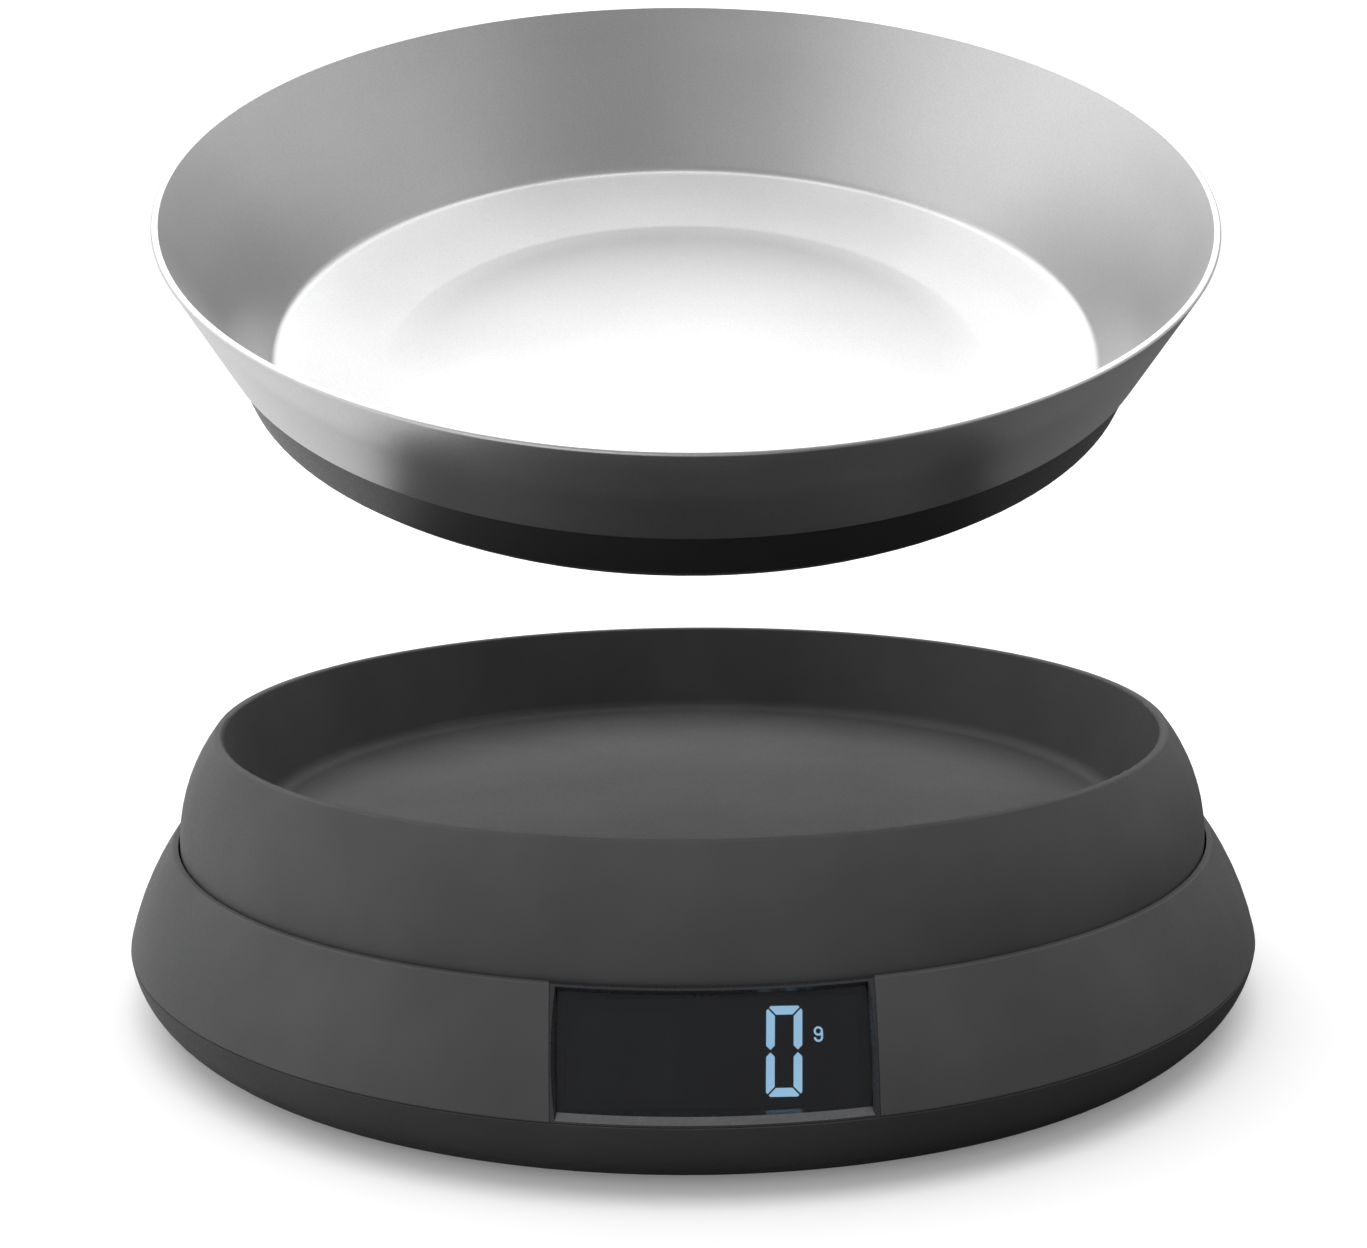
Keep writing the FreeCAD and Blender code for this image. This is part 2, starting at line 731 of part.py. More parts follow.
def countersunk(name, place, low, wider):
    """A countersunk screw's solid under the dish, or the hole for it when wider is given."""
    top = "dish_floor - dish_thickness"
    cone = doc.addObject("Part::Cone", name + "_head")
    cone.setExpression("Radius1", formula("screw_radius + " + wider))
    cone.setExpression("Radius2", formula("screw_radius + sink_flare + " + wider))
    cone.setExpression("Height", formula("carrier_thickness"))
    cone.setExpression("Placement.Base.x", formula(place))
    cone.setExpression("Placement.Base.z", formula(top + " - carrier_thickness"))
    shank = rod(name + "_shank", "screw_radius + " + wider, low, top + " - carrier_thickness",
                (place, "0"))
    return joined(name, [cone, shank])


def make_load_cell():
    beam_top = "beam_bottom + beam_side"
    beam = centred_box("beam_bar", "beam_length", "beam_side", "beam_side", ("0", "0"), "beam_bottom")
    bores = []
    for number, side in enumerate((-1, 1), start=1):
        bore = doc.addObject("Part::Cylinder", "beam_bore_%d" % number)
        bore.setExpression("Radius", formula("beam_bore"))
        bore.setExpression("Height", formula("beam_side + overcut + overcut"))
        middle = amount("beam_side") / 2
        start = FreeCAD.Vector(side * amount("beam_bore_place"), middle + amount("overcut"),
                               amount("beam_bottom") + middle)
        bore.Placement = FreeCAD.Placement(start, FreeCAD.Rotation(X_AXIS, 90))
        bores.append(bore)
    slot = centred_box("beam_slot", "beam_bore_place + beam_bore_place",
                       "beam_side + overcut + overcut", "beam_slot", ("0", "0"),
                       "beam_bottom + beam_slot_low")
    taps = []
    for place in ("near_screw", "far_screw"):
        radius = "screw_radius + screw_clearance"
        taps.append(rod("beam_low_tap_" + place, radius, "beam_bottom - overcut",
                        "beam_bottom + tap_depth", ("0 - " + place, "0")))
        taps.append(rod("beam_top_tap_" + place, radius, beam_top + " - tap_depth",
                        beam_top + " + overcut", (place, "0")))
    keep(less("load_cell", beam, bores + [slot] + taps), "load_cell")

    gauges = []
    for side in ("0 - beam_bore_place", "beam_bore_place"):
        for level in (beam_top, "beam_bottom - gauge_thickness"):
            gauges.append(centred_box("gauge_%d" % (len(gauges) + 1), "gauge_length", "gauge_width",
                                      "gauge_thickness", (side, "0"), level))
    keep(group("strain_gauges", gauges), "strain_gauges")

    def pad(name, side, height, low):
        block = centred_box(name + "_block", "pad_length", "beam_side", height,
                            (side + "pad_place", "0"), low)
        holes = [rod(name + "_hole_" + place, "screw_radius + screw_clearance", low + " - overcut",
                     low + " + " + height + " + overcut", (side + place, "0"))
                 for place in ("near_screw", "far_screw")]
        keep(less(name, block, holes), name)

    pad("lower_spacer", "0 - ", "lower_pad_height", "beam_bottom - lower_pad_height")
    pad("upper_spacer", "0 + ", "upper_pad_height", beam_top)

    uppers = [countersunk("upper_screw_" + place, place, beam_top + " - upper_screw_reach", "0")
              for place in ("near_screw", "far_screw")]
    keep(group("upper_screws", uppers), "upper_screws")

    lowers = []
    for place in ("near_screw", "far_screw"):
        middle = ("0 - " + place, "0")
        head = rod("lower_head_" + place, "lower_head", "cover_bottom + lower_head_low",
                   "cover_bottom + lower_head_top", middle)
        shank = rod("lower_shank_" + place, "screw_radius",
                    "cover_bottom + lower_head_top", "beam_bottom + lower_screw_reach", middle)
        lowers.append(joined("lower_screw_" + place, [head, shank]))
    keep(group("lower_screws", lowers), "lower_screws")

    stop = joined("stop_screw", [
        rod("stop_shaft", "stop_shaft", "cover_bottom + cover_floor",
            "beam_bottom - stop_gap - stop_head", ("pad_place", "0")),
        rod("stop_head_disc", "stop_radius", "beam_bottom - stop_gap - stop_head",
            "beam_bottom - stop_gap", ("pad_place", "0"))])
    keep(stop, "overload_stop")


# --- underside

def make_cover():
    floor = "cover_bottom + cover_floor"
    pan = revolved("cover_pan", [
        ("0", "cover_bottom"),
        ("cover_bottom_radius", "cover_bottom", ("cover_bulge_radius", "cover_bulge_height")),
        ("belt_radius", "belt_height"),
        ("belt_radius - cover_wall", "belt_height",
         ("cover_bulge_radius - cover_wall", "cover_bulge_height + cover_inner_rise")),
        ("cover_bottom_radius - cover_floor_inset", floor),
        ("0", floor)])
    rounded(pan, [("cover_bottom_radius", "cover_bottom")], "cover_round")
    rounded(pan, [("belt_radius", "belt_height")], "cover_belt_round")
    flange = centred_box("bay_flange", "bay_half_length + bay_half_length + flange_extra_length",
                         "bay_width + flange_extra_width", "flange_thickness",
                         ("0", "bay_middle"), floor)
    tub = centred_box("bay_tub", "bay_half_length + bay_half_length + bay_wall + bay_wall",
                      "bay_width + bay_wall + bay_wall",
                      "bay_roof + bay_wall - cover_bottom - cover_floor",
                      ("0", "bay_middle"), floor)
    cavity = centred_box("bay_cavity", "bay_half_length + bay_half_length", "bay_width",
                         "bay_roof - cover_bottom", ("0", "bay_middle"), "cover_bottom")
    doorway = centred_box("bay_doorway",
                          "door_half_length + door_half_length + door_gap + door_gap",
                          "door_width + door_gap + door_gap", "cover_floor",
                          ("0", "bay_middle"), "cover_bottom")
    pin_holes = cross_pins("cover_pin_hole", "door_pin + pin_gap", "pin_hole_depth")
    cell_post = centred_box("cell_post", "pad_length", "beam_side + cell_post_margin",
                            "beam_bottom - lower_pad_height - cover_bottom - cover_floor",
                            ("0 - pad_place", "0"), floor)
    pads = ring_of("screw_pad", "cover_screw_circle", SCREW_ANGLES,
                   lambda name, place: rod(name, "screw_pad", floor, "boss_foot", place))
    shelf_posts = [rod("shelf_post_%d" % (index + 1), "shelf_post", floor, "board_shelf",
                       ("button_x" + side, "button_y"))
                   for index, side in enumerate((" - shelf_post_place", " + shelf_post_place"))]
    foot_seats = ring_of("foot_seat", "foot_circle", DIAGONALS,
                         lambda name, place: rod(name, "foot_radius + foot_gap",
                                                 "cover_bottom - overcut", "foot_top", place))
    screw_holes = ring_of("cover_screw_hole", "cover_screw_circle", SCREW_ANGLES,
                          lambda name, place: rod(name, "cover_screw_hole",
                                                  "cover_bottom - overcut",
                                                  "boss_foot + overcut", place))
    head_seats = ring_of("cover_head_seat", "cover_screw_circle", SCREW_ANGLES,
                         lambda name, place: rod(name, "cover_head_seat",
                                                 "cover_bottom - overcut",
                                                 "cover_bottom + cover_head_depth", place))
    cell_holes = []
    for place in ("near_screw", "far_screw"):
        middle = ("0 - " + place, "0")
        cell_holes.append(rod("cell_head_seat_" + place, "lower_head_seat",
                              "cover_bottom - overcut", "cover_bottom + lower_head_top", middle))
        cell_holes.append(rod("cell_screw_hole_" + place, "screw_radius + screw_clearance",
                              "cover_bottom", "beam_bottom", middle))
    button_hole = rod("button_hole", "button_radius + button_gap", "cover_bottom - overcut",
                      floor + " + overcut", ("button_x", "button_y"))
    body = joined("cover_body", [pan, flange, tub, cell_post] + pads + shelf_posts)
    tools = [cavity, doorway, button_hole] + pin_holes + foot_seats + screw_holes
    keep(less("base_cover", body, tools + head_seats + cell_holes), "base_cover")

    feet = ring_of("foot", "foot_circle", DIAGONALS,
                   lambda name, place: rod(name, "foot_radius", "0", "foot_top", place))
    keep(group("rubber_feet", feet), "rubber_feet")

    def screw(name, place):
        head = rod(name + "_head", "cover_head", "cover_bottom + cover_head_sunk",
                   "cover_bottom + cover_head_depth", place)
        shank = rod(name + "_shank", "cover_screw_shank", "cover_bottom + cover_head_depth",
                    "boss_top - cover_screw_cap", place)
        return joined(name, [head, shank])

    keep(group("cover_screws", ring_of("cover_screw", "cover_screw_circle", SCREW_ANGLES, screw)),
         "cover_screws")


def cross_pins(name, radius, length):
    """Two short lying pins, one out of each end of the battery door."""
    pins = []
    for index, side in enumerate((-1, 1)):
        pin = doc.addObject("Part::Cylinder", "%s_%d" % (name, index + 1))
        pin.setExpression("Radius", formula(radius))
        pin.setExpression("Height", formula(length))
        start = FreeCAD.Vector(side * amount("door_half_length - pin_root"),
                               amount("door_hinge_y"), amount("door_hinge_height"))
        pin.Placement = FreeCAD.Placement(
            start, FreeCAD.Rotation(Y_AXIS, 90 * side))
        pins.append(pin)
    return pins


def make_battery_parts():
    plate = centred_box("door_plate", "door_half_length + door_half_length", "door_width",
                        "door_thickness", ("0", "bay_middle"), "cover_bottom")
    steps = ("", " - grip_pitch", " - grip_pitch - grip_pitch")
    grips = [centred_box("door_grip_%d" % index, "grip_length", "grip_width", "overcut",
                         ("0", "bay_middle - grip_place" + step),
                         "cover_bottom + grip_depth - overcut")
             for index, step in enumerate(steps, start=1)]
    body = joined("door_body", [plate] + cross_pins("door_pin_end", "door_pin", "pin_length"))
    keep(less("battery_door", body, grips), "battery_door")

    cells, plates, springs = [], [], []
    nub_length, leaf = amount("nub_length"), amount("leaf_thickness")
    for index, side in enumerate((-1, 1)):
        across = amount("bay_middle") + side * amount("cell_spacing") / 2
        half = amount("cell_length") / 2
        body = doc.addObject("Part::Cylinder", "cell_can_%d" % (index + 1))
        body.setExpression("Radius", formula("cell_radius"))
        body.setExpression("Height", formula("cell_length - nub_length"))
        nub = doc.addObject("Part::Cylinder", "cell_nub_%d" % (index + 1))
        nub.setExpression("Radius", formula("nub_radius"))
        nub.setExpression("Height", formula("nub_length"))
        height = amount("cell_height")
        lying = FreeCAD.Rotation(Y_AXIS, 90 * side)
        body.Placement = FreeCAD.Placement(
            FreeCAD.Vector(-side * half, across, height), lying)
        nub.Placement = FreeCAD.Placement(
            FreeCAD.Vector(side * (half - nub_length), across, height), lying)
        cells.append(joined("cell_%d" % (index + 1), [body, nub]))

        wall = amount("bay_half_length")
        for end in (-1, 1):
            low = wall - leaf if end > 0 else -wall
            plate = doc.addObject("Part::Box", "contact_leaf_%d" % (len(plates) + 1))
            plate.setExpression("Length", formula("leaf_thickness"))
            plate.setExpression("Width", formula("leaf_side"))
            plate.setExpression("Height", formula("leaf_side"))
            middle = amount("leaf_side") / 2
            plate.Placement.Base = FreeCAD.Vector(low, across - middle, height - middle)
            plates.append(plate)
        bump_low = half if side > 0 else leaf - wall
        bump = doc.addObject("Part::Cylinder", "contact_bump_%d" % (index + 1))
        bump.setExpression("Radius", formula("bump_radius"))
        bump.Height = wall - leaf - half
        bump.Placement = FreeCAD.Placement(
            FreeCAD.Vector(bump_low, across, height), FreeCAD.Rotation(Y_AXIS, 90))
        leaf_index = 2 * index + (1 if side > 0 else 0)
        plates[leaf_index] = joined("contact_cup_%d" % (index + 1), [plates[leaf_index], bump])

        # negative end: the turns of a small coil, held between the cell and its leaf
        room = wall - leaf - half
        first = half if side < 0 else leaf - wall
        for turn in range(COIL_TURNS):
            ring = doc.addObject("Part::Torus", "coil_turn_%d" % (len(springs) + 1))
            ring.Radius1 = amount("coil_radius") + amount("coil_growth") * turn
            ring.setExpression("Radius2", formula("coil_wire"))
            ring.Placement = FreeCAD.Placement(
                FreeCAD.Vector(first + room * (turn + 0.5) / COIL_TURNS, across, height),
                FreeCAD.Rotation(Y_AXIS, 90))
            springs.append(ring)
    keep(group("battery_cells", cells), "battery_cells")
    keep(group("battery_contacts", plates), "battery_contacts")
    keep(group("contact_springs", springs), "contact_springs")


def make_unit_button():
    middle = ("button_x", "button_y")
    floor = "cover_bottom + cover_floor"
    keep(joined("unit_button", [
        rod("button_cap", "button_radius", "button_face", floor, middle),
        rod("button_collar", "button_flange", floor, floor + " + button_flange_height", middle)]),
        "unit_button")
    keep(joined("unit_switch", [
        centred_box("switch_case", "switch_side", "switch_side", "board_shelf - switch_bottom",
                    middle, "switch_bottom"),
        rod("switch_plunger", "plunger_radius", "plunger_bottom", "switch_bottom", middle)]),
        "unit_switch")
    keep(centred_box("switch_board", "switch_board_length", "switch_board_width",
                     "switch_board_thickness", middle, "board_shelf"), "switch_board")


def route(points, radius, bend):
    """A wire along straight runs with round bends."""
    places = [FreeCAD.Vector(*point) for point in points]
    edges, start = [], places[0]
    for before, corner, after in zip(places, places[1:], places[2:]):
        back = (before - corner).normalize()
        ahead = (after - corner).normalize()
        half = back.getAngle(ahead) / 2
        reach = bend / math.tan(half)
        enter, leave = corner + back * reach, corner + ahead * reach
        inner = (back + ahead).normalize() * (bend / math.sin(half) - bend)
        edges.append(Part.makeLine(start, enter))
        edges.append(Part.Arc(enter, corner + inner, leave).toShape())
        start = leave
    edges.append(Part.makeLine(start, places[-1]))
    line = Part.Wire(edges)
    direction = places[1] - places[0]
    section = Part.Wire([Part.makeCircle(radius, places[0], direction)])
    return line.makePipeShell([section], True, False)


def make_wires():
    beam_face = -amount("beam_side") / 2 - amount("wire_lift")
    board_back = amount("board_depth + board_thickness")
    turn_y = amount("wire_turn_y")
    level = amount("cell_wire_height")
    runs = []
    for index in range(CELL_WIRES):
        across = amount("cell_wire_first") + amount("cell_wire_pitch") * index
        board = display_place(across + amount("cell_wire_shift"),
                              board_back + amount("cell_wire_board_gap"), 0).Base
        runs.append(route([(across, beam_face, level), (across, turn_y, level),
                           (board.x, amount("cell_wire_drop_y"), amount("cell_wire_drop_height")),
                           (board.x, board.y + amount("cell_wire_straight"), board.z),
                           (board.x, board.y, board.z)],
                          amount("cell_wire_radius"), amount("cell_wire_bend")))
    feature = doc.addObject("Part::Feature", "load_cell_wires")
    feature.Shape = Part.makeCompound(runs)
    keep(feature, "load_cell_wires")

    pair = []
    bay_front = amount("bay_middle - bay_wall - wire_lift") - amount("bay_width") / 2
    level = amount("battery_wire_height")
    for index in range(2):
        across = amount("battery_wire_first") + amount("battery_wire_pitch") * index
        board = display_place(across, board_back + amount("battery_wire_board_gap"),
                              amount("battery_wire_board_height")).Base
        pair.append(route([(across, bay_front, level),
                           (across, amount("battery_wire_turn_y"), level),
                           (across, turn_y, amount("battery_wire_low")),
                           (across, board.y + amount("battery_wire_straight"), board.z),
                           (across, board.y, board.z)],
                          amount("battery_wire_radius"), amount("battery_wire_bend")))
    feature = doc.addObject("Part::Feature", "battery_wires")
    feature.Shape = Part.makeCompound(pair)
    keep(feature, "battery_wires")


# --- bowl

def bowl_place():
    """The bowl's frame when lifted: its seat on the dish, turned about the line in front."""
    seated = FreeCAD.Placement(
        FreeCAD.Vector(0, 0, amount("dish_floor + bowl_seat_gap")), FreeCAD.Rotation())
    line = FreeCAD.Vector(0, amount("bowl_turn_y"), amount("bowl_turn_height"))
    turn = FreeCAD.Placement(line, FreeCAD.Rotation(X_AXIS, amount("bowl_turn_angle")))
    return turn.multiply(FreeCAD.Placement(-line, FreeCAD.Rotation())).multiply(seated)


def make_bowl():
    place = bowl_place()
    skin = "bowl_rim_radius - steel_thickness"
    keep(revolved("bowl_skirt", [
        ("bowl_rim_radius", "bowl_height"),
        ("skirt_bottom_radius", "skirt_bottom_height"),
        ("skirt_bottom_radius - steel_thickness", "skirt_bottom_height"),
        (skin, "bowl_height")], placement=place), "bowl_skirt")

    under = "basin_floor - steel_thickness"
    liner = revolved("bowl_liner", [
        (skin, "bowl_height"),
        ("wall_foot_under_radius", "wall_foot_under_height",
         ("slope_radius", "slope_height - steel_thickness")),
        ("disc_radius", under, ("disc_shoulder", under + " + disc_shoulder_rise")),
        ("disc_crown", under + " + disc_rise"),
        ("0", under + " + disc_rise"),
        ("0", "basin_floor + disc_rise"),
        ("disc_crown", "basin_floor + disc_rise",
         ("disc_shoulder", "basin_floor + disc_shoulder_rise")),
        ("disc_radius", "basin_floor", ("slope_radius", "slope_height")),
        ("wall_foot_radius", "wall_foot_height"),
        (skin + " - steel_slant", "bowl_height")], placement=place)
    rounded(liner, [("wall_foot_radius", "wall_foot_height")], "wall_foot_fillet")
    rounded(liner, [("wall_foot_under_radius", "wall_foot_under_height")],
            "wall_foot_fillet + steel_thickness")
    keep(liner, "bowl_liner")

    bed = "basin_floor - steel_thickness - cup_gap"
    lip = "cup_edge_height + cup_lip_height"
    cup = revolved("bowl_cup", [
        ("0", "cup_bottom"),
        ("cup_bottom_radius", "cup_bottom"),
        ("cup_flat_radius", "cup_flat_height", ("cup_round_radius", "cup_round_height")),
        ("cup_corner_radius", "cup_corner_height"),
        ("cup_edge_radius", "cup_edge_height"),
        ("cup_edge_radius - cup_edge_width", "cup_edge_height"),
        ("cup_edge_radius + cup_lip_reach", lip),
        ("cup_edge_radius + cup_lip_inset + cup_gap", lip),
        ("cup_bed_corner_radius", "cup_bed_corner_height",
         ("cup_bed_turn_radius", "cup_bed_turn_height")),
        ("cup_bed_foot_radius", "cup_bed_foot_height", ("slope_radius", "cup_bed_slope_height")),
        ("disc_radius", bed),
        ("0", bed)], placement=place)
    keep(cup, "bowl_cup")

    foot = revolved("bowl_foot_ring", [
        ("foot_ring_radius - foot_ring_width", "foot_ring_bottom"),
        ("foot_ring_radius", "foot_ring_bottom"),
        ("foot_ring_radius", "cup_bottom"),
        ("foot_ring_radius - foot_ring_width", "cup_bottom")], placement=place)
    rounded(foot, [("foot_ring_radius", "foot_ring_bottom"),
                   ("foot_ring_radius - foot_ring_width", "foot_ring_bottom")], "foot_ring_round")
    keep(foot, "bowl_foot_ring")


make_cover()
make_housing()
make_display_window()
make_display_stack()
make_segments()
make_platform()
make_carrier()
make_load_cell()
make_battery_parts()
make_unit_button()
make_wires()
make_bowl()
doc.recompute()

for thing in doc.Objects:
    if "Invalid" in thing.State or "Error" in thing.State:
        raise RuntimeError("%s did not build: %s" % (thing.Label, thing.State))
for thing in subparts:
    if thing.Shape.isNull() or not thing.Shape.isValid() or not thing.Shape.Solids:
        raise RuntimeError("%s has no valid solid" % thing.Label)

os.makedirs("parts", exist_ok=True)
for thing in subparts:
    thing.Shape.exportStep(os.path.join("parts", thing.Label + ".step"))
    box = thing.Shape.BoundBox
    print("%-18s solids %d  volume %9.1f  z %.2f to %.2f" % (
        thing.Label, len(thing.Shape.Solids), thing.Shape.Volume, box.ZMin, box.ZMax))
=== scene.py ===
import json
import math

import bmesh
import bpy
from mathutils import Matrix, Vector


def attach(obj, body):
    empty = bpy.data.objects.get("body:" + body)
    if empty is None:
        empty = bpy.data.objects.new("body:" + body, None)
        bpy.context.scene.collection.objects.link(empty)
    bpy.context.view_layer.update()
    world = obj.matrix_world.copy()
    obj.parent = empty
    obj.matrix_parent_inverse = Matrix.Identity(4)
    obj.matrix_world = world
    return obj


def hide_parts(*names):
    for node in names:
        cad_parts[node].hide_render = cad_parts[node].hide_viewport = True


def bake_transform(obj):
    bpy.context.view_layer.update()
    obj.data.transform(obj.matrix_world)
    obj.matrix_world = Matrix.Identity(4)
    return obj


# The looks of a kitchen scale whose steel bowl is lifted and tilted over its round base.
# Metres, +Z up, the display faces -Y. Profiles are written in millimetres and scaled by MM.

MM = 0.001

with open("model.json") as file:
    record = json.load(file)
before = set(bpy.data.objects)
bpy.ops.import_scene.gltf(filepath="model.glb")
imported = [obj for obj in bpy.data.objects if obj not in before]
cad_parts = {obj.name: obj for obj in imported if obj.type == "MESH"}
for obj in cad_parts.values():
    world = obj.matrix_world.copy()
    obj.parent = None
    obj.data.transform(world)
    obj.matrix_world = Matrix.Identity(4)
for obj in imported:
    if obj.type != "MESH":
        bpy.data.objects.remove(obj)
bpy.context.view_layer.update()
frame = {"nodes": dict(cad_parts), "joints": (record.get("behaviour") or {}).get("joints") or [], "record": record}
nodes = frame["nodes"]
record = frame["record"]


# --- materials: every finish is a Principled shader with its grain, tone and relief from noise

class Finish:
    """A material being built: its shader and the object coordinates that its textures read."""

    def __init__(self, name):
        self.material = bpy.data.materials.new(name)
        self.material.use_nodes = True
        self.tree = self.material.node_tree
        self.shader = self.tree.nodes["Principled BSDF"]
        self.place = self.add("ShaderNodeTexCoord").outputs["Object"]

    def add(self, kind, **settings):
        node = self.tree.nodes.new(kind)
        for name, value in settings.items():
            setattr(node, name, value)
        return node

    def join(self, source, target):
        self.tree.links.new(source, target)

    def noise(self, scale, detail=2.0, place=None):
        """Noise with about this many blotches per metre."""
        node = self.add("ShaderNodeTexNoise")
        node.inputs["Scale"].default_value = scale
        node.inputs["Detail"].default_value = detail
        self.join(place or self.place, node.inputs["Vector"])
        return node.outputs["Fac"]

    def levels(self, source, low, high, start=0.3, stop=0.7):
        """A value stretched from start..stop, where noise mostly lies, to low..high."""
        node = self.add("ShaderNodeMapRange")
        node.inputs["From Min"].default_value = start
        node.inputs["From Max"].default_value = stop
        node.inputs["To Min"].default_value = low
        node.inputs["To Max"].default_value = high
        self.join(source, node.inputs["Value"])
        return node.outputs["Result"]

    def tones(self, source, dark, light):
        """A colour between two tones, picked by the noise."""
        node = self.add("ShaderNodeMix", data_type="RGBA")
        node.inputs["A"].default_value = (*dark, 1)
        node.inputs["B"].default_value = (*light, 1)
        self.join(source, node.inputs["Factor"])
        return node.outputs["Result"]

    def relief(self, source, height, strength=1.0, under=None):
        """Bumps of this height in metres, on top of any relief under them."""
        node = self.add("ShaderNodeBump")
        node.inputs["Distance"].default_value = height
        node.inputs["Strength"].default_value = strength
        self.join(source, node.inputs["Height"])
        if under:
            self.join(under, node.inputs["Normal"])
        return node.outputs["Normal"]

    def set(self, **values):
        for name, value in values.items():
            socket = self.shader.inputs[name.replace("_", " ")]
            if hasattr(value, "is_output"):
                self.join(value, socket)
            else:
                socket.default_value = value
        return self


def shades(colour, dark, light):
    """A colour times each of two factors, no channel past full white."""
    return (tuple(channel * dark for channel in colour),
            tuple(min(1.0, channel * light) for channel in colour))


PLASTIC_CLOUDS, PLASTIC_POLISH, PLASTIC_RELIEF = 35.0, 0.05, 0.5
PLASTIC_SHADES = (0.86, 1.14)


def plastic(name, colour, roughness, grain=1600.0, height=0.02, specular=0.5):
    """Moulded plastic: a fine spark-eroded grain and faint clouding from handling."""
    finish = Finish(name)
    fine = finish.noise(grain, 3.0)
    cloud = finish.noise(PLASTIC_CLOUDS, 3.0)
    tone = finish.tones(finish.levels(cloud, 0.0, 1.0), *shades(colour, *PLASTIC_SHADES))
    polish = (roughness - PLASTIC_POLISH, roughness + PLASTIC_POLISH)
    finish.set(Base_Color=tone, Roughness=finish.levels(fine, *polish),
               Normal=finish.relief(fine, height * MM, PLASTIC_RELIEF))
    finish.shader.inputs["Specular IOR Level"].default_value = specular
    return finish.material


METAL_CLOUDS, METAL_POLISH, METAL_RELIEF = 28.0, 0.05, 0.6
METAL_SHADES = (0.93, 1.05)


def metal(name, colour, roughness, grain=2500.0, height=0.006):
    """Satin metal: a blasted micro grain with slow changes of polish."""
    finish = Finish(name)
    fine = finish.noise(grain, 4.0)
    cloud = finish.noise(METAL_CLOUDS, 2.0)
    tone = finish.tones(finish.levels(fine, 0.0, 1.0), *shades(colour, *METAL_SHADES))
    polish = (roughness - METAL_POLISH, roughness + METAL_POLISH)
    finish.set(Metallic=1.0, Base_Color=tone, Roughness=finish.levels(cloud, *polish),
               Normal=finish.relief(fine, height * MM, METAL_RELIEF))
    return finish.material


STEEL_DARK = (0.53, 0.53, 0.535)
STEEL_LIGHT = (0.62, 0.62, 0.625)
STEEL_POLISH = (0.32, 0.40)
# noise scales per metre, then how high each relief stands and how strongly it shows
STEEL_RINGS, STEEL_GRAIN, STEEL_CLOUDS = 2600.0, 3200.0, 24.0
RING_RELIEF = (0.004 * MM, 0.35)
GRAIN_RELIEF = (0.010 * MM, 0.7)
# roughness added under the lower height, fading out at the upper one
FLOOR_WEAR = 0.13
WEAR_HEIGHTS = (5.0 * MM, 9.0 * MM)


def steel(name, place):
    """Satin stainless steel, spun about the bowl's axis: fine rings over a blasted grain."""
    finish = Finish(name)
    own = finish.add("ShaderNodeMapping", vector_type="TEXTURE")
    own.inputs["Location"].default_value = place.to_translation()
    own.inputs["Rotation"].default_value = place.to_euler()
    finish.join(finish.place, own.inputs["Vector"])
    parts = finish.add("ShaderNodeSeparateXYZ")
    finish.join(own.outputs["Vector"], parts.inputs["Vector"])
    flat = finish.add("ShaderNodeCombineXYZ")
    finish.join(parts.outputs["X"], flat.inputs["X"])
    finish.join(parts.outputs["Y"], flat.inputs["Y"])
    radius = finish.add("ShaderNodeVectorMath", operation="LENGTH")
    finish.join(flat.outputs["Vector"], radius.inputs[0])
    ringed = finish.add("ShaderNodeCombineXYZ")
    finish.join(radius.outputs["Value"], ringed.inputs["X"])
    finish.join(parts.outputs["Z"], ringed.inputs["Y"])
    rings = finish.noise(STEEL_RINGS, 3.0, ringed.outputs["Vector"])
    fine = finish.noise(STEEL_GRAIN, 4.0)
    cloud = finish.noise(STEEL_CLOUDS, 2.0)
    grain = finish.relief(fine, *GRAIN_RELIEF)
    # the floor of the bowl is duller than its walls, from spoons and washing
    worn = finish.levels(parts.outputs["Z"], FLOOR_WEAR, 0.0, *WEAR_HEIGHTS)
    rough = finish.add("ShaderNodeMath", operation="ADD")
    finish.join(finish.levels(cloud, *STEEL_POLISH), rough.inputs[0])
    finish.join(worn, rough.inputs[1])
    tone = finish.tones(finish.levels(fine, 0.0, 1.0), STEEL_DARK, STEEL_LIGHT)
    finish.set(Metallic=1.0, Base_Color=tone, Roughness=rough.outputs["Value"],
               Normal=finish.relief(rings, *RING_RELIEF, grain))
    return finish.material


def lens(name):
    """Dark tinted acrylic: mostly clear, with a hard gloss and faint haze."""
    finish = Finish(name)
    haze = finish.noise(60.0, 3.0)
    finish.set(Base_Color=finish.tones(haze, (0.010, 0.011, 0.013), (0.016, 0.017, 0.020)),
               Roughness=finish.levels(haze, 0.05, 0.10),
               Alpha=0.50)
    return finish.material


def clear_film(name):
    """A clear touch film with a fine grid printed in it."""
    finish = Finish(name)
    weave = finish.noise(900.0, 1.0)
    finish.set(Base_Color=finish.tones(weave, (0.45, 0.46, 0.48), (0.55, 0.56, 0.58)),
               Roughness=finish.levels(weave, 0.15, 0.25), Alpha=0.03)
    return finish.material


def lit(name, colour, strength):
    """Backlit display segments, a little uneven as the light guide makes them."""
    finish = Finish(name)
    guide = finish.noise(180.0, 1.0)
    dark = tuple(channel * 0.9 for channel in colour)
    tone = finish.tones(guide, dark, colour)
    finish.set(Base_Color=tone, Emission_Color=tone, Roughness=finish.levels(guide, 0.35, 0.45))
    finish.shader.inputs["Emission Strength"].default_value = strength
    return finish.material


# the gap between the dish and the bowl's zero height when it is seated, in millimetres
SEAT_GAP = 1.2


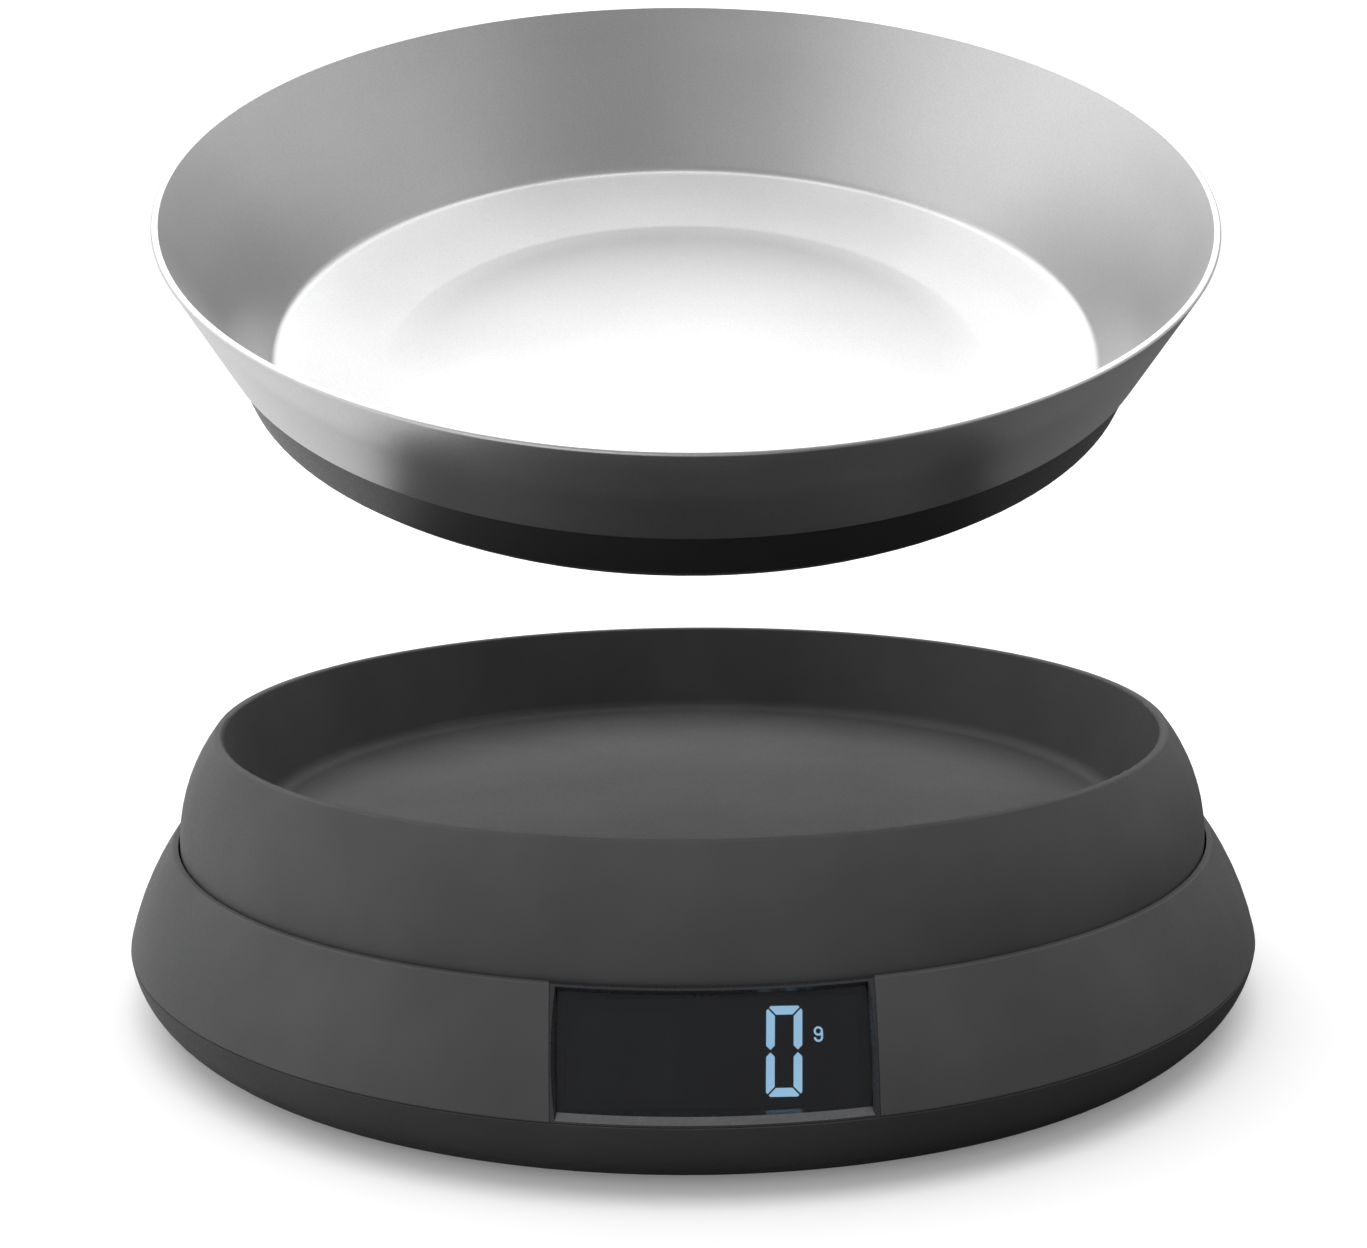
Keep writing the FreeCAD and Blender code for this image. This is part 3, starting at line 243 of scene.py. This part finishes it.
def bowl_frame():
    """The bowl's own frame: its seat on the dish, turned about the hinge to where it rests."""
    dish = next(mount for mount in record["mounts"] if mount["name"] == "dish_floor")
    joint = next(joint for joint in frame["joints"] if joint["name"] == "bowl_turn")
    line = Matrix.Translation(Vector(joint["pos_m"]))
    lifted = Matrix.Rotation(math.radians(-joint["range_deg"][0]), 4, Vector(joint["axis"]))
    seat = Matrix.Translation((0, 0, dish["pos_m"][2] + SEAT_GAP * MM))
    return line @ lifted @ line.inverted() @ seat


BOWL = bowl_frame()

MATERIALS = {
    "charcoal_plastic": plastic("charcoal_plastic", (0.070, 0.070, 0.072), 0.58, specular=0.26),
    "black_plastic": plastic("black_plastic", (0.032, 0.032, 0.033), 0.55, specular=0.3),
    "bowl_plastic": plastic("bowl_plastic", (0.012, 0.012, 0.013), 0.42),
    "satin_steel": steel("satin_steel", BOWL),
    "rubber": plastic("rubber", (0.018, 0.018, 0.018), 0.8, 900.0, 0.05, 0.3),
    "bezel_plastic": plastic("bezel_plastic", (0.020, 0.021, 0.024), 0.30, 1400.0, 0.008),
    "display_glass": lens("display_glass"),
    "clear_film": clear_film("clear_film"),
    "display_black": plastic("display_black", (0.010, 0.010, 0.012), 0.2, 400.0, 0.002),
    "display_lit": lit("display_lit", (0.36, 0.62, 0.88), 3.0),
    "white_plastic": plastic("white_plastic", (0.72, 0.72, 0.71), 0.5),
    "board": plastic("board", (0.02, 0.15, 0.055), 0.32, 1200.0, 0.02),
    "chip": plastic("chip", (0.02, 0.02, 0.021), 0.55),
    "aluminium": metal("aluminium", (0.74, 0.75, 0.77), 0.36),
    "gauge_seal": plastic("gauge_seal", (0.72, 0.69, 0.60), 0.6, 700.0, 0.06),
    "zinc_steel": metal("zinc_steel", (0.58, 0.59, 0.61), 0.30),
    "plated_spring": metal("plated_spring", (0.72, 0.71, 0.68), 0.20, 1800.0, 0.003),
    "cell_wrap": plastic("cell_wrap", (0.10, 0.11, 0.13), 0.28, 500.0, 0.006),
    "wire_white": plastic("wire_white", (0.70, 0.70, 0.68), 0.5),
    "wire_red": plastic("wire_red", (0.45, 0.03, 0.03), 0.5),
}


def dress_cad_nodes():
    """Give every CAD node the material of its record slot."""
    for part in record["subparts"]:
        mesh = nodes[part["node"]].data
        mesh.materials.clear()
        mesh.materials.append(MATERIALS[part["material_slot"]])


# --- the steel bowl, as one smooth sheet with a rolled rim

RING_STEPS = 256
ROUND_STEPS = 10
EDGE = 0.02          # kept inside the CAD surfaces, so that the visual stays in the CAD box
RIM_RADIUS, RIM_HEIGHT = 105.9 - EDGE, 41.7 - EDGE
RIM_INNER_ROUND, RIM_OUTER_ROUND = 0.36, 0.504
RIM_FOLD = 1.0       # how far in and down from the rim the sheet's two walls meet
SHEET = 0.6
SKIRT_FOOT = (95.9, 18.9)
LINER_TOP = (104.3, 41.0)
WALL_FOOT = (86.5, 7.0)
WALL_ROUND = 3.0
WALL_STEPS = 6
SLOPE = (74.75, 4.4)
DISC_EDGE = (63.0, 2.4)
DISC_SHOULDER = (34.0, 3.03)
DISC_MIDDLE = (0.0, 3.3)


def arc_through(first, middle, last, steps):
    """Points on the circle through three points, from the first to the last."""
    (ax, ay), (bx, by), (cx, cy) = first, middle, last
    turn = 2 * (ax * (by - cy) + bx * (cy - ay) + cx * (ay - by))
    a, b, c = (x * x + y * y for x, y in (first, middle, last))
    ox = (a * (by - cy) + b * (cy - ay) + c * (ay - by)) / turn
    oy = (a * (cx - bx) + b * (ax - cx) + c * (bx - ax)) / turn
    radius = math.hypot(ax - ox, ay - oy)
    start, stop = (math.atan2(y - oy, x - ox) for x, y in (first, last))
    span = (stop - start + math.pi) % math.tau - math.pi
    return [(ox + radius * math.cos(start + span * step / steps),
             oy + radius * math.sin(start + span * step / steps)) for step in range(steps + 1)]


def corner_arc(before, corner, after, radius):
    """The corner between two straight runs, rounded."""
    back = (Vector(before) - Vector(corner)).normalized()
    ahead = (Vector(after) - Vector(corner)).normalized()
    half = back.angle(ahead) / 2
    reach = radius / math.tan(half)
    heart = Vector(corner) + (back + ahead).normalized() * (radius / math.sin(half) - radius)
    ends = [tuple(Vector(corner) + way * reach) for way in (back, ahead)]
    return arc_through(ends[0], tuple(heart), ends[1], ROUND_STEPS)


def lathe(name, profile, place):
    """A closed skin turned about the bowl's axis. A profile point at radius 0 is a pole."""
    mesh = bmesh.new()
    rings = []
    for radius, height in profile:
        if radius < 1e-6:
            rings.append([mesh.verts.new((0, 0, height * MM))])
            continue
        rings.append([mesh.verts.new((radius * MM * math.cos(math.tau * step / RING_STEPS),
                                      radius * MM * math.sin(math.tau * step / RING_STEPS),
                                      height * MM)) for step in range(RING_STEPS)])
    closed = profile[0][0] > 1e-6 and profile[-1][0] > 1e-6
    pairs = list(zip(rings, rings[1:])) + ([(rings[-1], rings[0])] if closed else [])
    for lower, upper in pairs:
        for step in range(RING_STEPS):
            after = (step + 1) % RING_STEPS
            corners = [lower[step % len(lower)], lower[after % len(lower)],
                       upper[after % len(upper)], upper[step % len(upper)]]
            mesh.faces.new(list(dict.fromkeys(corners)))
    bmesh.ops.recalc_face_normals(mesh, faces=mesh.faces)
    mesh.transform(place)
    data = bpy.data.meshes.new(name)
    mesh.to_mesh(data)
    mesh.free()
    for face in data.polygons:
        face.use_smooth = True
    piece = bpy.data.objects.new(name, data)
    bpy.context.scene.collection.objects.link(piece)
    return piece


def make_steel():
    """The bowl's inner wall, rolled rim and outer skirt in one closed sheet of steel."""
    slope = arc_through(DISC_EDGE, SLOPE, WALL_FOOT, 2 * ROUND_STEPS)
    foot = corner_arc(slope[-3], WALL_FOOT, LINER_TOP, WALL_ROUND)
    profile = arc_through(DISC_MIDDLE, DISC_SHOULDER, DISC_EDGE, ROUND_STEPS)
    profile[0] = DISC_MIDDLE
    profile += [point for point in slope[1:] if point[0] < foot[0][0]] + foot
    profile += [(foot[-1][0] + (LINER_TOP[0] - foot[-1][0]) * step / WALL_STEPS,
                 foot[-1][1] + (LINER_TOP[1] - foot[-1][1]) * step / WALL_STEPS)
                for step in range(1, WALL_STEPS)]
    rim_out = (RIM_RADIUS, RIM_HEIGHT)
    rim_in = (LINER_TOP[0], RIM_HEIGHT)
    profile += corner_arc(profile[-1], rim_in, rim_out, RIM_INNER_ROUND)
    profile += corner_arc(rim_in, rim_out, SKIRT_FOOT, RIM_OUTER_ROUND)
    profile += [SKIRT_FOOT, (SKIRT_FOOT[0] - SHEET, SKIRT_FOOT[1]),
                (RIM_RADIUS - RIM_FOLD, RIM_HEIGHT - RIM_FOLD)]
    # the liner's underside, back to the middle
    under = [(radius + SHEET / 2, height - SHEET) for radius, height in foot[::-1]]
    under += [(radius, height - SHEET) for radius, height in slope[::-1]
              if radius < under[-1][0]]
    under += [(radius, height - SHEET) for radius, height
              in arc_through(DISC_EDGE, DISC_SHOULDER, DISC_MIDDLE, ROUND_STEPS)[1:]]
    profile += under
    piece = lathe("steel_bowl", profile, BOWL)
    piece.data.materials.append(MATERIALS["satin_steel"])
    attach(piece, "bowl")
    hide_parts("bowl_liner", "bowl_skirt")


# --- the load cell: in the scale it bends between the base and the platform, here it is copied as it stands

def bend_load_cell():
    """Still copies of the beam and its gauges in place of the hidden CAD nodes; they don't follow the base or the
    platform.
    """
    for name, slot in (("load_cell", "aluminium"), ("strain_gauges", "gauge_seal")):
        piece = bpy.data.objects.new("bending_" + name, nodes[name].data.copy())
        bpy.context.scene.collection.objects.link(piece)
        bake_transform(piece)
        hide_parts(name)


# --- camera, floor and light

CAMERA_PLACE = Vector((-11.6, -391.0, 139.5)) * MM
CAMERA_PITCH = 9.99
CAMERA_YAW = 0.206
CAMERA_ROLL = -0.453
VIEW_TURN = -1.7
LENS_LENGTH = 50.38
SENSOR_WIDTH = 36.0


def make_camera():
    yaw, pitch, roll = (math.radians(angle) for angle in (CAMERA_YAW, CAMERA_PITCH, CAMERA_ROLL))
    right = Vector((math.cos(yaw), math.sin(yaw), 0))
    forward = Vector((-math.sin(yaw) * math.cos(pitch), math.cos(yaw) * math.cos(pitch),
                      -math.sin(pitch)))
    up = right.cross(forward)
    right, up = (right * math.cos(roll) + up * math.sin(roll),
                 up * math.cos(roll) - right * math.sin(roll))
    axes = Matrix((right, up, -forward)).transposed()
    turned = Matrix.Rotation(math.radians(VIEW_TURN), 3, "Z") @ axes
    data = bpy.data.cameras.new("camera")
    data.lens = LENS_LENGTH
    data.sensor_width = SENSOR_WIDTH
    data.sensor_fit = "HORIZONTAL"
    camera = bpy.data.objects.new("camera", data)
    camera.matrix_world = Matrix.Translation(CAMERA_PLACE) @ turned.to_4x4()
    bpy.context.scene.collection.objects.link(camera)
    bpy.context.scene.camera = camera


FLOOR_REACH = 30.0
FLOOR_GLOW = 0.16
# what the object sees of the floor: bright on the left, dark on the right, turning between these
FLOOR_TURN = (-0.12, 0.10)
FLOOR_LEFT, FLOOR_RIGHT = 0.72, 0.12


def make_floor():
    """A pale floor. Only the camera sees it white all over: the object is lit by a floor that
    is dimmer on the right, as if a dark screen stood there."""
    mesh = bpy.data.meshes.new("floor")
    corners = [(-1, -1), (1, -1), (1, 1), (-1, 1)]
    mesh.from_pydata([(x * FLOOR_REACH, y * FLOOR_REACH, 0) for x, y in corners], [],
                     [(0, 1, 2, 3)])
    floor = bpy.data.objects.new("floor", mesh)
    bpy.context.scene.collection.objects.link(floor)
    finish = Finish("pale_floor")
    cloud = finish.noise(6.0, 2.0)
    parts = finish.add("ShaderNodeSeparateXYZ")
    finish.join(finish.place, parts.inputs["Vector"])
    across = finish.levels(parts.outputs["X"], 0.0, 1.0, *FLOOR_TURN)
    bounced = finish.tones(across, (FLOOR_LEFT,) * 3, (FLOOR_RIGHT,) * 3)
    pale = finish.tones(cloud, (0.89,) * 3, (0.91,) * 3)
    path = finish.add("ShaderNodeLightPath")
    mix = finish.add("ShaderNodeMix", data_type="RGBA")
    finish.join(path.outputs["Is Camera Ray"], mix.inputs["Factor"])
    finish.join(bounced, mix.inputs["A"])
    finish.join(pale, mix.inputs["B"])
    glow = finish.levels(path.outputs["Is Camera Ray"], 0.0, FLOOR_GLOW, 0.0, 1.0)
    finish.set(Base_Color=mix.outputs["Result"], Roughness=0.9, Emission_Color=(1, 1, 1, 1),
               Emission_Strength=glow)
    finish.shader.inputs["Specular IOR Level"].default_value = 0.1
    mesh.materials.append(finish.material)


# the studio dome: brightness added along one direction as it runs from start to stop
DOME = (
    ("Y", -1.0, 0.5, 0.42, 0.52),
    ("X", -0.3, -0.95, 0.0, 0.80),
    ("X", 0.35, 0.95, 0.0, 0.28),
)
SEEN = 1.05
SUN_TOWARDS = (-0.05, 0.40, 0.9)
SUN_STRENGTH = 2.6
SUN_WIDTH = 80


def make_world():
    """A studio dome with a soft box on each side, the left one brighter. The camera sees white."""
    world = bpy.data.worlds.new("studio")
    bpy.context.scene.world = world
    world.use_nodes = True
    tree = world.node_tree
    tree.nodes.clear()
    place = tree.nodes.new("ShaderNodeTexCoord")
    parts = tree.nodes.new("ShaderNodeSeparateXYZ")
    tree.links.new(place.outputs["Generated"], parts.inputs["Vector"])
    total = None
    for axis, start, stop, low, high in DOME:
        ramp = tree.nodes.new("ShaderNodeMapRange")
        ramp.interpolation_type = "SMOOTHSTEP"
        for name, value in (("From Min", start), ("From Max", stop), ("To Min", low),
                            ("To Max", high)):
            ramp.inputs[name].default_value = value
        tree.links.new(parts.outputs[axis], ramp.inputs["Value"])
        if total is None:
            total = ramp.outputs["Result"]
            continue
        add = tree.nodes.new("ShaderNodeMath")
        add.operation = "ADD"
        tree.links.new(total, add.inputs[0])
        tree.links.new(ramp.outputs["Result"], add.inputs[1])
        total = add.outputs["Value"]
    dome = tree.nodes.new("ShaderNodeBackground")
    tree.links.new(total, dome.inputs["Strength"])
    white = tree.nodes.new("ShaderNodeBackground")
    white.inputs["Strength"].default_value = SEEN
    for light in (dome, white):
        light.inputs["Color"].default_value = (1, 1, 1, 1)
    path = tree.nodes.new("ShaderNodeLightPath")
    mix = tree.nodes.new("ShaderNodeMixShader")
    tree.links.new(path.outputs["Is Camera Ray"], mix.inputs["Fac"])
    tree.links.new(dome.outputs["Background"], mix.inputs[1])
    tree.links.new(white.outputs["Background"], mix.inputs[2])
    output = tree.nodes.new("ShaderNodeOutputWorld")
    tree.links.new(mix.outputs["Shader"], output.inputs["Surface"])


def make_sun(name, towards, strength, width):
    """A broad, distant soft light; towards points from the scale to it."""
    data = bpy.data.lights.new(name, "SUN")
    data.energy = strength
    data.angle = math.radians(width)
    lamp = bpy.data.objects.new(name, data)
    lamp.rotation_euler = Vector(towards).to_track_quat("Z", "Y").to_euler()
    bpy.context.scene.collection.objects.link(lamp)


dress_cad_nodes()
bend_load_cell()
make_steel()
make_camera()
make_floor()
make_world()
make_sun("overhead", SUN_TOWARDS, SUN_STRENGTH, SUN_WIDTH)
bpy.context.scene.view_settings.view_transform = "Standard"
